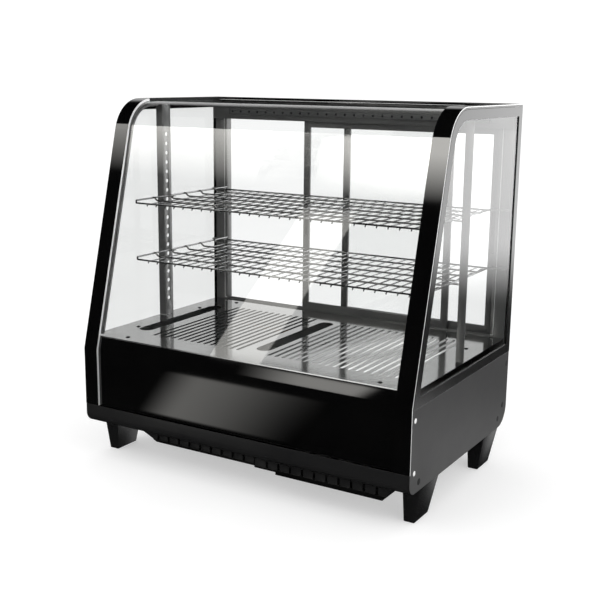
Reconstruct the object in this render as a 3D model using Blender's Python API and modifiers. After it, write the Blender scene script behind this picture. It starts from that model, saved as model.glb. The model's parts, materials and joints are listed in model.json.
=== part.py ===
"""Counter-top heated display case, modelled as an assembly of separate parts.

Metres, +Z up. The origin is under the middle of the case at the level of the feet,
+X is to the right as the customer sees it from the front, and +Y points to the rear.
"""
from math import cos, pi, radians, sin, tan

import bmesh
import bpy
from mathutils import Euler, Matrix, Vector

# ------------------------------------------------------------------ driving sizes
WIDTH = 0.682
HEIGHT = 0.675
FRONT = -0.225                  # front face of the trim bands
REAR = 0.213                    # rear face of the body
DEEPEST = 0.225                 # rear tip of the thermostat knob
GAP = 0.0003                    # what neighbouring pieces keep between them

BASE_BOTTOM = 0.066             # underside of the base, on top of the feet
RAIL_TOP = 0.103                # joint between the bottom rail and the front panel
PANEL_TOP = 0.2092              # top of the steel side and rear panels
KINK_Z = 0.213                  # where the upright front turns into the slope
SLOPE = radians(14.45)          # front glass, off vertical
CROWN_R = 0.072                 # round from the slope into the flat top
FLOOR_Z = 0.236                 # top of the display floor
STEEL = 0.0015                  # sheet thickness
HALF = WIDTH / 2

BAND_WIDTH = 0.031
BAND_DEPTH = 0.0047
GLASS_DEPTH = 0.005             # front glass stands this far behind the bands
GLASS_T = 0.005
SIDE_GLASS_T = 0.004
BORDER_WIDTH = 0.017            # frame over the edge of each side glass
FRAME_T = 0.0015
SIDE_GLASS_X = HALF - FRAME_T - GAP                 # outer face of the side glass
INNER_HALF = SIDE_GLASS_X - SIDE_GLASS_T - GAP      # clear half width inside

UPRIGHT_Y = (-0.005, 0.021)
UPRIGHT_X = 0.320               # inner face of the slotted uprights
UPRIGHT_TOP = 0.664
UPRIGHT_HOLES = 19
UPRIGHT_PITCH = 0.0185
UPRIGHT_FIRST = 0.271
UPRIGHT_HOLE_R = 0.0042

POST_X = 0.306                  # inner face of the rear posts
POST_Y = 0.197                  # front face of the rear posts, and of the door tracks
HEAD_Z = 0.669                  # top of the posts and of the rear beam
BEAM_Y = 0.187
BEAM_LOW = 0.630

DOOR_WIDTH = 0.330
DOOR_LOW = 0.2296
DOOR_TOP = 0.6404
DOOR_T = 0.0055
DOOR_STILE = 0.014
DOOR_SILL_Z = 0.253             # bottom of the door's glass
DOOR_HEAD_Z = 0.618             # top of the door's glass
DOOR_INNER_Y = 0.1985
DOOR_OUTER_Y = 0.2056
DOOR_INNER_X = -0.114           # left edges of the two doors, inner one part open
DOOR_OUTER_X = -0.025
TRACK_X = 0.3055

SHELF_HALF = 0.306              # axis of a shelf's side wires
SHELF_FRONT = -0.106
SHELF_REAR = 0.195
SHELF_GRID_Z = {"upper": 0.4785, "lower": 0.3685}
SHELF_EDGE_LIFT = 0.0055        # side wires stand this far above the grid
SHELF_WIRE = 0.003
SHELF_ROWS = 6                  # cells from front to rear
SHELF_COLUMNS = 14
SHELF_FLAT_HALF = 0.297         # half width of the flat part of the grid

FOOT_X = 0.309                  # inner face of a foot at the counter
FOOT_FRONTS = {"front": -0.174, "rear": 0.107}

DUCT_LOW = 0.128
DUCT_X = (-0.310, 0.290)
DUCT_Y = (-0.160, 0.150)
FAN_X = 0.006
FAN_Y = -0.005
FAN_Z = 0.180
FAN_SIZE = 0.080
BLADES = 7

CONTROL_X = (0.070, 0.250)
CONTROL_Z = (0.120, 0.186)
CONTROL_FACE = 0.2195
KNOB_X = 0.100
ROCKER_X = {"power": 0.225, "light": 0.197}
DISPLAY_X = (0.126, 0.176)
CONTROL_MID = sum(CONTROL_Z) / 2
INLET_X = -0.190
INLET_Z = 0.150

SIDE_PLANE = (pi / 2, 0, pi / 2)    # outlines drawn in (Y, Z), thickness along X
FRONT_PLANE = (pi / 2, 0, 0)        # outlines drawn in (X, Z), thickness along Y
FLOOR_PLANE = (0, 0, 0)             # outlines drawn in (X, Y), thickness along Z

for leftover in list(bpy.data.objects):
    bpy.data.objects.remove(leftover)

case = bpy.data.collections.new("heated_display_case")
cutters = bpy.data.collections.new("cutters")
bpy.context.scene.collection.children.link(case)
bpy.context.scene.collection.children.link(cutters)


# ------------------------------------------------------------------ materials
def material(name, colour, roughness, metallic=0.0, alpha=1.0):
    """A Principled material of one colour, made once and then shared."""
    if name in bpy.data.materials:
        return bpy.data.materials[name]
    mat = bpy.data.materials.new(name)
    mat.use_nodes = True
    shader = mat.node_tree.nodes["Principled BSDF"]
    shader.inputs["Base Color"].default_value = (*colour, 1)
    shader.inputs["Roughness"].default_value = roughness
    shader.inputs["Metallic"].default_value = metallic
    shader.inputs["Alpha"].default_value = alpha
    return mat


def black_gloss():
    return material("black_gloss", (0.012, 0.012, 0.013), 0.12)


def satin_steel():
    return material("satin_black_steel", (0.045, 0.045, 0.047), 0.38, 0.3)


def stainless():
    return material("stainless_steel", (0.62, 0.62, 0.61), 0.16, 1.0)


def black_plastic():
    return material("black_plastic", (0.02, 0.02, 0.021), 0.5)


def clear_glass():
    return material("clear_glass", (0.9, 0.93, 0.93), 0.03, 0.0, 0.25)


def chrome():
    return material("chrome_wire", (0.75, 0.75, 0.76), 0.1, 1.0)


def plated_steel():
    return material("plated_steel", (0.5, 0.51, 0.52), 0.35, 0.9)


# ------------------------------------------------------------------ building tools
def add(name, data, mat, collection=case):
    obj = bpy.data.objects.new(name, data)
    collection.objects.link(obj)
    if mat:
        data.materials.append(mat)
    return obj


def box(name, low, high, mat, collection=case):
    """A cube primitive scaled between two corners, with its origin at its middle."""
    low, high = Vector(low), Vector(high)
    mesh = bpy.data.meshes.new(name)
    bm = bmesh.new()
    bmesh.ops.create_cube(bm, size=1)
    bmesh.ops.scale(bm, vec=high - low, verts=bm.verts)
    bm.to_mesh(mesh)
    bm.free()
    obj = add(name, mesh, mat, collection)
    obj.location = (low + high) / 2
    return obj


def rod(name, centre, radius, length, turn, mat, sides=16, collection=case):
    """A cylinder primitive along local Z, turned by the given Euler angles."""
    mesh = bpy.data.meshes.new(name)
    bm = bmesh.new()
    bmesh.ops.create_cone(bm, cap_ends=True, segments=sides, radius1=radius,
                          radius2=radius, depth=length)
    bm.to_mesh(mesh)
    bm.free()
    obj = add(name, mesh, mat, collection)
    obj.location = centre
    obj.rotation_euler = turn
    return obj


def outline(name, loops, span, plane, mat, collection=case):
    """A flat outline, its first loop outside and the rest holes, thick across span."""
    curve = bpy.data.curves.new(name, "CURVE")
    curve.dimensions = "2D"
    curve.fill_mode = "BOTH"
    curve.extrude = (span[1] - span[0]) / 2
    for loop in loops:
        spline = curve.splines.new("POLY")
        spline.points.add(len(loop) - 1)
        for point, (a, b) in zip(spline.points, loop):
            point.co = (a, b, 0, 1)
        spline.use_cyclic_u = True
    obj = add(name, curve, mat, collection)
    middle = (span[0] + span[1]) / 2
    obj.rotation_euler = plane
    obj.location = {SIDE_PLANE: (middle, 0, 0), FRONT_PLANE: (0, middle, 0),
                    FLOOR_PLANE: (0, 0, middle)}[plane]
    return obj


def solid_of(obj):
    """The curve object as a welded mesh object of the same name and place."""
    bpy.context.view_layer.update()
    evaluated = obj.evaluated_get(bpy.context.evaluated_depsgraph_get())
    mesh = bpy.data.meshes.new_from_object(evaluated)
    bm = bmesh.new()
    bm.from_mesh(mesh)
    bmesh.ops.remove_doubles(bm, verts=bm.verts, dist=0.00001)
    bm.to_mesh(mesh)
    bm.free()
    name, place, home = obj.name, obj.matrix_world.copy(), obj.users_collection[0]
    bpy.data.objects.remove(obj)
    solid = bpy.data.objects.new(name, mesh)
    home.objects.link(solid)
    solid.matrix_world = place
    return solid


def boolean(obj, tool, operation="DIFFERENCE"):
    tool.hide_render = True
    tool.display_type = "WIRE"
    cut = obj.modifiers.new(operation.lower(), "BOOLEAN")
    cut.object = tool
    cut.operation = operation
    cut.solver = "EXACT"


def rectangle(a0, a1, b0, b1):
    return [(a0, b0), (a1, b0), (a1, b1), (a0, b1)]


def arc(centre, radius, start, end, steps):
    """Points round an arc, angles in radians from the first axis."""
    turns = [start + (end - start) * i / steps for i in range(steps + 1)]
    return [(centre[0] + radius * cos(t), centre[1] + radius * sin(t)) for t in turns]


def long_slot(a, width, b0, b1, steps=1):
    """A slot along the second axis with rounded ends."""
    r = width / 2
    return (arc((a, b0 + r), r, pi, 2 * pi, 2 * steps)
            + arc((a, b1 - r), r, 0, pi, 2 * steps))


def both_sides(low, high):
    """The same X span on the left and on the right, with its side's name."""
    return (("left", (-high, -low)), ("right", (low, high)))


# ------------------------------------------------------------------ the side profile
def slope_y(depth, z):
    """Y of the sloped front at height z, a distance depth behind the bands' face."""
    return FRONT + (depth + (z - KINK_Z) * sin(SLOPE)) / cos(SLOPE)


def front_path(depth, z_low, y_end, steps=8):
    """(Y, Z) points up the front, round the crown and back along the top."""
    path = []
    kink_z = KINK_Z - depth * tan(SLOPE / 2)
    if z_low < kink_z:
        path += [(FRONT + depth, z_low), (FRONT + depth, kink_z)]
    else:
        path += [(slope_y(depth, z_low), z_low)]
    rise = (HEIGHT - CROWN_R - KINK_Z + CROWN_R * sin(SLOPE)) / cos(SLOPE)
    centre = (FRONT + rise * sin(SLOPE) + CROWN_R * cos(SLOPE), HEIGHT - CROWN_R)
    path += arc(centre, CROWN_R - depth, pi - SLOPE, pi / 2, steps)
    return path + [(y_end, HEIGHT - depth)]


def strip(depth, thickness, z_low, y_end):
    """Outline of a sheet that follows the front from z_low up to y_end on the top."""
    outer = front_path(depth, z_low, y_end)
    inner = front_path(depth + thickness, z_low, y_end)
    return outer + inner[::-1]


def side_outline(depth, z_low, y_end):
    """Closed outline of a sheet that fills the side inside the front profile."""
    return front_path(depth, z_low, y_end) + [(y_end, z_low)]


def rounded_heel(radius, offset=0.0):
    """The base's lower rear corner."""
    centre = (REAR - radius, BASE_BOTTOM + radius)
    return arc(centre, radius - offset, 0, -pi / 2, 6)


def rounded_toe(radius, offset=0.0):
    """The base's lower front corner."""
    centre = (FRONT + radius, BASE_BOTTOM + radius)
    return arc(centre, radius - offset, -pi / 2, -pi, 5)


TOE_R = 0.020
HEEL_R = 0.038


# ------------------------------------------------------------------ base
def base_sheets():
    side = ([(REAR, PANEL_TOP)] + rounded_heel(HEEL_R) + rounded_toe(TOE_R)
            + [(FRONT, RAIL_TOP), (FRONT + GLASS_DEPTH, RAIL_TOP),
               (FRONT + GLASS_DEPTH, PANEL_TOP)])
    for name, span in both_sides(HALF - STEEL, HALF):
        outline(f"side_panel_{name}", [side], span, SIDE_PLANE, satin_steel())

    inside = HALF - STEEL - GAP
    toe_end = FRONT + TOE_R + 0.015
    rail = ([(FRONT, RAIL_TOP)] + rounded_toe(TOE_R)[::-1]
            + [(toe_end, BASE_BOTTOM), (toe_end, BASE_BOTTOM + STEEL)]
            + rounded_toe(TOE_R, STEEL) + [(FRONT + STEEL, RAIL_TOP)])
    outline("front_rail", [rail], (-inside, inside), SIDE_PLANE, satin_steel())

    lip = FLOOR_Z + 0.0005
    depth = GLASS_DEPTH
    kinks = [KINK_Z - d * tan(SLOPE / 2) for d in (depth, depth + STEEL)]
    panel = [(FRONT + depth, RAIL_TOP + 0.001), (FRONT + depth, kinks[0]),
             (slope_y(depth, lip), lip), (slope_y(depth + STEEL, lip), lip),
             (FRONT + depth + STEEL, kinks[1]), (FRONT + depth + STEEL, RAIL_TOP + 0.001)]
    outline("front_panel", [panel], (-INNER_HALF, INNER_HALF), SIDE_PLANE, black_gloss())

    intakes = [rectangle(x - 0.006, x + 0.006, -0.150, -0.030)
               for x in [-0.150 + 0.044 * i for i in range(10)]]
    outline("base_plate", [rectangle(-inside, inside, toe_end + GAP, REAR - HEEL_R - GAP)]
            + intakes, (BASE_BOTTOM, BASE_BOTTOM + STEEL), FLOOR_PLANE, satin_steel())
    rear_panel(inside)


def rear_panel(inside):
    sheet = ([(REAR, PANEL_TOP)] + rounded_heel(HEEL_R)
             + rounded_heel(HEEL_R, STEEL)[::-1] + [(REAR - STEEL, PANEL_TOP)])
    panel = solid_of(outline("rear_panel", [sheet], (-inside, inside), SIDE_PLANE,
                             satin_steel()))
    holes = [rectangle(CONTROL_X[0] + 0.008, CONTROL_X[1] - 0.008,
                       CONTROL_Z[0] + 0.008, CONTROL_Z[1] - 0.008),
             rectangle(INLET_X - 0.0145, INLET_X + 0.0145, INLET_Z - 0.0105, INLET_Z + 0.0105)]
    holes += [rectangle(x - 0.003, x + 0.003, 0.122, 0.184)
              for x in [-0.120 + 0.014 * i for i in range(10)]]
    for number, hole in enumerate(holes):
        cutter = outline(f"rear_hole_{number}", [hole], (REAR - 0.01, REAR + 0.01),
                         FRONT_PLANE, None, cutters)
        boolean(panel, solid_of(cutter))


def feet():
    """Tapered legs: upright in front, leaning out to the side and to the rear."""
    for end, front in FOOT_FRONTS.items():
        for side, sign in (("left", -1), ("right", 1)):
            low = ((FOOT_X, front), (FOOT_X + 0.0195, front + 0.055))
            high = ((FOOT_X - 0.003, front - 0.003), (FOOT_X + 0.0295, front + 0.073))
            foot = box(f"foot_{end}_{side}", (0, 0, 0), (1, 1, BASE_BOTTOM - GAP),
                       black_plastic())
            foot.location = (0, 0, 0)
            for vertex in foot.data.vertices:
                level = high if vertex.co.z > 0 else low
                x = level[1 if vertex.co.x > 0 else 0][0]
                y = level[1 if vertex.co.y > 0 else 0][1]
                z = BASE_BOTTOM - GAP if vertex.co.z > 0 else 0
                vertex.co = (x, y, z)
            if sign < 0:
                for vertex in foot.data.vertices:
                    vertex.co.x = -vertex.co.x
                foot.data.flip_normals()


def vent_guards():
    """Intake grilles under the base: slanted ends, narrow slots and a lip along the bottom."""
    top = BASE_BOTTOM - GAP
    lip_top, slot_width, slot_depth = 0.052, 0.0044, 0.008
    guards = {
        "left": (-0.203, [(-0.228, top), (-0.188, 0.048), (0.0355, 0.048), (0.0355, top)],
                 [0.0318 - 0.0241 * i for i in range(10)]),
        "right": (-0.211, [(0.0365, top), (0.0365, 0.0487), (0.080, 0.0487), (0.080, 0.044),
                           (0.287, 0.044), (0.302, top)],
                  [0.0615 + 0.0238 * i for i in range(10)])}
    for name, (front, face, slots) in guards.items():
        guard = solid_of(outline(f"vent_guard_{name}", [face], (front, -0.020),
                                 FRONT_PLANE, black_plastic()))
        above_lip = box(f"above_lip_{name}", (-WIDTH, front - 0.005, lip_top),
                        (WIDTH, front + 0.0015, HEIGHT), None, cutters)
        boolean(guard, above_lip)
        for i, x in enumerate(slots):
            slot = box(f"guard_slot_{name}_{i}", (x - slot_width / 2, front - 0.005, lip_top),
                       (x + slot_width / 2, front + slot_depth, top - 0.0012), None, cutters)
            boolean(guard, slot)


# ------------------------------------------------------------------ body above the base
def glazing():
    front = strip(GLASS_DEPTH, GLASS_T, FLOOR_Z + 0.0012, BEAM_Y - 0.0006)
    outline("front_glass", [front], (-INNER_HALF, INNER_HALF), SIDE_PLANE, clear_glass())

    low = PANEL_TOP + GAP
    pane = side_outline(GLASS_DEPTH, low, REAR)
    for name, span in both_sides(SIDE_GLASS_X - SIDE_GLASS_T, SIDE_GLASS_X):
        outline(f"side_glass_{name}", [pane], span, SIDE_PLANE, clear_glass())

    opening = side_outline(GLASS_DEPTH + BORDER_WIDTH, low + BORDER_WIDTH, REAR - BORDER_WIDTH)
    for name, span in both_sides(HALF - FRAME_T, HALF):
        outline(f"side_frame_{name}", [pane, opening], span, SIDE_PLANE, satin_steel())

    band = strip(0, BAND_DEPTH, RAIL_TOP + GAP, REAR)
    for name, span in both_sides(HALF - BAND_WIDTH, HALF):
        outline(f"trim_band_{name}", [band], span, SIDE_PLANE, black_gloss())


def floor_plate():
    slot_pitch, slot_width = 0.0147, 0.0066
    slots = [long_slot(-0.234 + slot_pitch * i, slot_width, -0.150, 0.137) for i in range(14)]
    slots += [long_slot(0.025 + slot_pitch * i, slot_width, -0.151, 0.134) for i in range(18)]
    slots += [long_slot(x, 0.030, -0.130, 0.124, 3) for x in (-0.278, -0.005)]
    plate = rectangle(-INNER_HALF, INNER_HALF, -0.2065, POST_Y - 0.0006)
    outline("display_floor", [plate] + slots, (FLOOR_Z - 0.0012, FLOOR_Z), FLOOR_PLANE,
            stainless())


def rear_frame():
    section = rectangle(POST_Y, REAR, PANEL_TOP + GAP, HEAD_Z)
    tip, root, bend_y, end_y = SHELF_HALF - 0.004, INNER_HALF - 0.002, 0.178, 0.188
    for name, span in both_sides(POST_X, INNER_HALF):
        post = solid_of(outline(f"rear_post_{name}", [section], span, SIDE_PLANE,
                                satin_steel()))
        sign = -1 if name == "left" else 1
        hook = [(tip, bend_y), (root, bend_y), (root, POST_Y + 0.003),
                (POST_X + 0.003, POST_Y + 0.003), (POST_X + 0.003, end_y), (tip, end_y)]
        hook = [(sign * x, y) for x, y in hook]
        for level in SHELF_GRID_Z:
            lug = outline(f"{level}_lug_{name}", [hook], shelf_seat(level), FLOOR_PLANE,
                          None, cutters)
            boolean(post, solid_of(lug), "UNION")

    front, inner = BEAM_Y, BEAM_Y + STEEL
    beam = [(front, BEAM_LOW), (front, HEAD_Z), (POST_Y - 0.0006, HEAD_Z),
            (POST_Y - 0.0006, HEAD_Z - STEEL), (inner, HEAD_Z - STEEL), (inner, BEAM_LOW)]
    outline("rear_beam", [beam], (-INNER_HALF, INNER_HALF), SIDE_PLANE, satin_steel())

    half = HALF - BAND_WIDTH - GAP
    box("top_cover", (-half, BEAM_Y, HEAD_Z + 0.0013), (half, REAR, HEIGHT), black_gloss())
    box("led_strip", (-0.290, BEAM_Y - 0.0065, 0.640), (0.290, BEAM_Y - GAP, 0.652),
        material("led_diffuser", (0.9, 0.9, 0.86), 0.4))
    door_tracks()


def door_tracks():
    """Double-grooved rails above and below the two sliding doors."""
    lips = ((POST_Y, POST_Y + 0.0011), (DOOR_INNER_Y + DOOR_T + 0.0004, DOOR_OUTER_Y - 0.0004),
            (REAR - STEEL, REAR))

    def grooved(base_far, base_near, tip, outer_end):
        """The rail's (Y, Z) outline; tip is where the lips end."""
        points = [(lips[0][0], base_far), (lips[0][0], tip), (lips[0][1], tip)]
        points += [(lips[0][1], base_near), (lips[1][0], base_near), (lips[1][0], tip)]
        points += [(lips[1][1], tip), (lips[1][1], base_near), (lips[2][0], base_near)]
        points += [(lips[2][0], tip), (lips[2][1], tip), (lips[2][1], outer_end)]
        return points + [(lips[2][0], outer_end), (lips[2][0], base_far)]

    low = grooved(DOOR_LOW - 0.0026, DOOR_LOW - 0.0006, 0.2385, PANEL_TOP + GAP)
    high = grooved(DOOR_TOP + 0.0026, DOOR_TOP + 0.0006, BEAM_LOW, HEAD_Z)
    outline("bottom_door_track", [low], (-TRACK_X, TRACK_X), SIDE_PLANE, satin_steel())
    outline("top_door_track", [high], (-TRACK_X, TRACK_X), SIDE_PLANE, satin_steel())


def uprights():
    """Angles with a front flange and a web that has a column of shelf holes."""
    low, high = UPRIGHT_Y
    wall = STEEL
    inner, outer = UPRIGHT_X, INNER_HALF
    for name, sign in (("left", -1), ("right", 1)):
        angle = [(sign * x, y) for x, y in (
            (outer, low), (inner, low), (inner, high), (inner + wall, high),
            (inner + wall, low + wall), (outer, low + wall))]
        upright = solid_of(outline(f"shelf_upright_{name}", [angle],
                                   (FLOOR_Z + GAP, UPRIGHT_TOP), FLOOR_PLANE, satin_steel()))
        for i in range(UPRIGHT_HOLES):
            centre = (sign * inner, (low + high) / 2, UPRIGHT_FIRST + UPRIGHT_PITCH * i)
            drill = rod(f"shelf_hole_{name}_{i}", centre, UPRIGHT_HOLE_R, 0.008,
                        (0, pi / 2, 0), None, 8, cutters)
            boolean(upright, drill)


# ------------------------------------------------------------------ shelves
def shelf_seat(level):
    """Heights of the bottom and top of what a shelf's side wires rest on."""
    top = SHELF_GRID_Z[level] + SHELF_EDGE_LIFT - SHELF_WIRE / 2 - GAP
    return top - 0.0022, top


def shelf(level):
    """A flat grid whose cross wires rise at both ends to a raised side wire."""
    z = SHELF_GRID_Z[level]
    half_wire = SHELF_WIRE / 2
    column = 2 * SHELF_FLAT_HALF / SHELF_COLUMNS
    row = (SHELF_REAR - SHELF_FRONT) / SHELF_ROWS
    cells = []
    for i in range(SHELF_COLUMNS):
        for j in range(SHELF_ROWS):
            x, y = -SHELF_FLAT_HALF + column * i, SHELF_FRONT + row * j
            cells.append(rectangle(x + half_wire, x + column - half_wire,
                                   y + half_wire, y + row - half_wire))
    rim = rectangle(-SHELF_FLAT_HALF - half_wire, SHELF_FLAT_HALF + half_wire,
                    SHELF_FRONT - half_wire, SHELF_REAR + half_wire)
    grid = solid_of(outline(f"{level}_shelf", [rim] + cells, (z - half_wire, z + half_wire),
                            FLOOR_PLANE, chrome()))
    top = z + SHELF_EDGE_LIFT
    for sign, side in ((-1, "left"), (1, "right")):
        wire = box(f"{level}_{side}_wire",
                   (sign * SHELF_HALF - half_wire, SHELF_FRONT - half_wire, top - half_wire),
                   (sign * SHELF_HALF + half_wire, SHELF_REAR + half_wire, top + half_wire),
                   None, cutters)
        boolean(grid, wire, "UNION")
        rise = [(sign * (SHELF_FLAT_HALF - 0.001), z - 0.0011),
                (sign * (SHELF_HALF + 0.001), top - 0.0011),
                (sign * (SHELF_HALF + 0.001), top + 0.0011),
                (sign * (SHELF_FLAT_HALF - 0.001), z + 0.0011)]
        for j in range(SHELF_ROWS + 1):
            y = SHELF_FRONT + row * j
            riser = outline(f"{level}_{side}_riser_{j}", [rise], (y - 0.0012, y + 0.0012),
                            FRONT_PLANE, None, cutters)
            boolean(grid, solid_of(riser), "UNION")
    shelf_clips(level)


def shelf_clips(level):
    """Tongues under the side wires, hung on the uprights."""
    low, high = shelf_seat(level)
    for side, span in both_sides(SHELF_HALF - 0.004, UPRIGHT_X - GAP):
        box(f"{level}_clip_{side}", (span[0], 0.003, low), (span[1], 0.013, high),
            plated_steel())


# ------------------------------------------------------------------ doors
def door(name, left, front):
    """A slim framed pane with a finger cup let into its outer stile."""
    right = left + DOOR_WIDTH
    cup_at_left = name == "inner"
    stile = left if cup_at_left else right - DOOR_STILE
    cup = rectangle(stile + 0.003, stile + DOOR_STILE - 0.003, 0.395, 0.475)
    loops = [rectangle(left, right, DOOR_LOW, DOOR_TOP),
             rectangle(left + DOOR_STILE, right - DOOR_STILE, DOOR_SILL_Z, DOOR_HEAD_Z), cup]
    span = (front, front + DOOR_T)
    outline(f"{name}_door_frame", loops, span, FRONT_PLANE, satin_steel())
    middle = front + DOOR_T / 2
    box(f"{name}_door_glass", (left + DOOR_STILE + GAP, middle - 0.0015, DOOR_SILL_Z + GAP),
        (right - DOOR_STILE - GAP, middle + 0.0015, DOOR_HEAD_Z - GAP), clear_glass())
    pull = box(f"{name}_door_pull", (cup[0][0] + GAP, front + 0.0015, cup[0][1] + GAP),
               (cup[1][0] - GAP, front + DOOR_T, cup[2][1] - GAP), black_plastic())
    hollow = box(f"{name}_pull_hollow", (cup[0][0] + 0.0015, front + 0.003, cup[0][1] + 0.0015),
                 (cup[1][0] - 0.0015, front + 0.010, cup[2][1] - 0.0015), None, cutters)
    boolean(pull, hollow)


# ------------------------------------------------------------------ under the floor
def air_duct():
    """An open-topped sheet box that carries the warm air under the floor."""
    mesh = bpy.data.meshes.new("air_duct")
    low = Vector((DUCT_X[0], DUCT_Y[0], DUCT_LOW))
    high = Vector((DUCT_X[1], DUCT_Y[1], FLOOR_Z - 0.0015))
    bm = bmesh.new()
    bmesh.ops.create_cube(bm, size=1)
    bmesh.ops.scale(bm, vec=high - low, verts=bm.verts)
    lid = [face for face in bm.faces if face.normal.z > 0.5]
    bmesh.ops.delete(bm, geom=lid, context="FACES_ONLY")
    bm.to_mesh(mesh)
    bm.free()
    duct = add("air_duct", mesh, plated_steel())
    duct.location = (low + high) / 2
    walls = duct.modifiers.new("walls", "SOLIDIFY")
    walls.thickness = 0.001
    walls.offset = -1


def fan():
    """An axial fan, its axis along X, in a bulkhead across the duct."""
    half = FAN_SIZE / 2
    floor_of_duct = DUCT_LOW + 0.001
    blade_r = half - 0.003
    hole = arc((FAN_Y, FAN_Z), blade_r + 0.0015, 0, 2 * pi * 27 / 28, 27)
    square = rectangle(FAN_Y - half, FAN_Y + half, FAN_Z - half, FAN_Z + half)
    outline("fan_bulkhead", [rectangle(DUCT_Y[0] + 0.0013, DUCT_Y[1] - 0.0013,
                                       floor_of_duct + GAP, FLOOR_Z - 0.0015), hole],
            (FAN_X + 0.0253, FAN_X + 0.0265), SIDE_PLANE, plated_steel())
    outline("fan_housing", [square, hole], (FAN_X, FAN_X + 0.025), SIDE_PLANE,
            black_plastic())

    spider = []
    for i in range(3):
        turn = pi / 2 + 2 * pi * i / 3
        spider += arc((FAN_Y, FAN_Z), half - 0.0005, turn - 0.05, turn + 0.05, 1)
        spider += arc((FAN_Y, FAN_Z), 0.015, turn + 0.18, turn + 2 * pi / 3 - 0.18, 3)
    outline("fan_motor", [spider], (FAN_X - 0.0063, FAN_X - GAP), SIDE_PLANE,
            plated_steel())

    rotor = []
    for i in range(BLADES):
        root = 2 * pi * i / BLADES
        rotor += [(0.014 * cos(root), 0.014 * sin(root))]
        rotor += [(blade_r * cos(root + lean), blade_r * sin(root + lean))
                  for lean in (0.25, 0.55, 0.78)]
        rotor += [(0.014 * cos(root + 0.55), 0.014 * sin(root + 0.55))]
    wheel = outline("fan_rotor", [rotor], (FAN_X + 0.004, FAN_X + 0.020), SIDE_PLANE,
                    black_plastic())
    wheel.location = (FAN_X + 0.012, FAN_Y, FAN_Z)


def heater():
    """A sheathed element bent in three runs on the warm side of the fan."""
    left, right, bend = 0.075, 0.255, 0.024
    rows = [-0.090 + 2 * bend * i for i in range(4)]
    path = [(right + 0.012, rows[0])]
    for i in range(3):
        at_left = i % 2 == 0
        x = left if at_left else right
        start, end = (-pi / 2, -3 * pi / 2) if at_left else (-pi / 2, pi / 2)
        path += arc((x, rows[i] + bend), bend, start, end, 6)
    path += [(right + 0.012, rows[3])]
    curve = bpy.data.curves.new("heating_element", "CURVE")
    curve.dimensions = "3D"
    curve.bevel_depth = 0.004
    curve.bevel_resolution = 1
    curve.use_fill_caps = True
    spline = curve.splines.new("POLY")
    spline.points.add(len(path) - 1)
    for point, (x, y) in zip(spline.points, path):
        point.co = (x, y, 0, 1)
    element = add("heating_element", curve, stainless())
    element.location = (0, 0, 0.176)

    for name, x in (("left", 0.110), ("right", 0.220)):
        outline(f"element_bracket_{name}",
                [rectangle(rows[0] - 0.012, rows[3] + 0.012, DUCT_LOW + 0.0013, 0.1717)],
                (x, x + 0.0015), SIDE_PLANE, plated_steel())
    rod("thermostat_bulb", (-0.100, 0.060, 0.222), 0.004, 0.080, (0, pi / 2, 0),
        material("copper", (0.72, 0.38, 0.22), 0.3, 1.0), 12)


def electrics():
    grey = material("grey_plastic", (0.55, 0.56, 0.57), 0.5)
    box("led_driver", (-0.120, 0.060, 0.0725), (-0.030, 0.105, 0.098),
        material("white_plastic", (0.8, 0.8, 0.78), 0.45))
    box("terminal_block", (-0.220, 0.110, 0.0725), (-0.160, 0.132, 0.090), grey)
    box("thermostat_body", (0.078, 0.160, 0.134), (0.122, 0.205, 0.172), grey)

    shell = box("mains_inlet", (INLET_X - 0.0142, REAR - 0.026, INLET_Z - 0.0102),
                (INLET_X + 0.0142, REAR + 0.0035, INLET_Z + 0.0102), black_plastic())
    flange = box("inlet_flange", (INLET_X - 0.024, REAR + GAP, INLET_Z - 0.0145),
                 (INLET_X + 0.024, REAR + 0.0025, INLET_Z + 0.0145), None, cutters)
    boolean(shell, flange, "UNION")
    socket = box("inlet_socket", (INLET_X - 0.0120, REAR - 0.018, INLET_Z - 0.0080),
                 (INLET_X + 0.0120, REAR + 0.010, INLET_Z + 0.0080), None, cutters)
    boolean(shell, socket)
    for number, (x, z) in enumerate(((-0.007, -0.002), (0, 0.002), (0.007, -0.002))):
        pin = box(f"inlet_pin_{number}", (INLET_X + x - 0.001, REAR - 0.020, INLET_Z + z - 0.002),
                  (INLET_X + x + 0.001, REAR - 0.006, INLET_Z + z + 0.002), None, cutters)
        boolean(shell, pin, "UNION")


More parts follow.
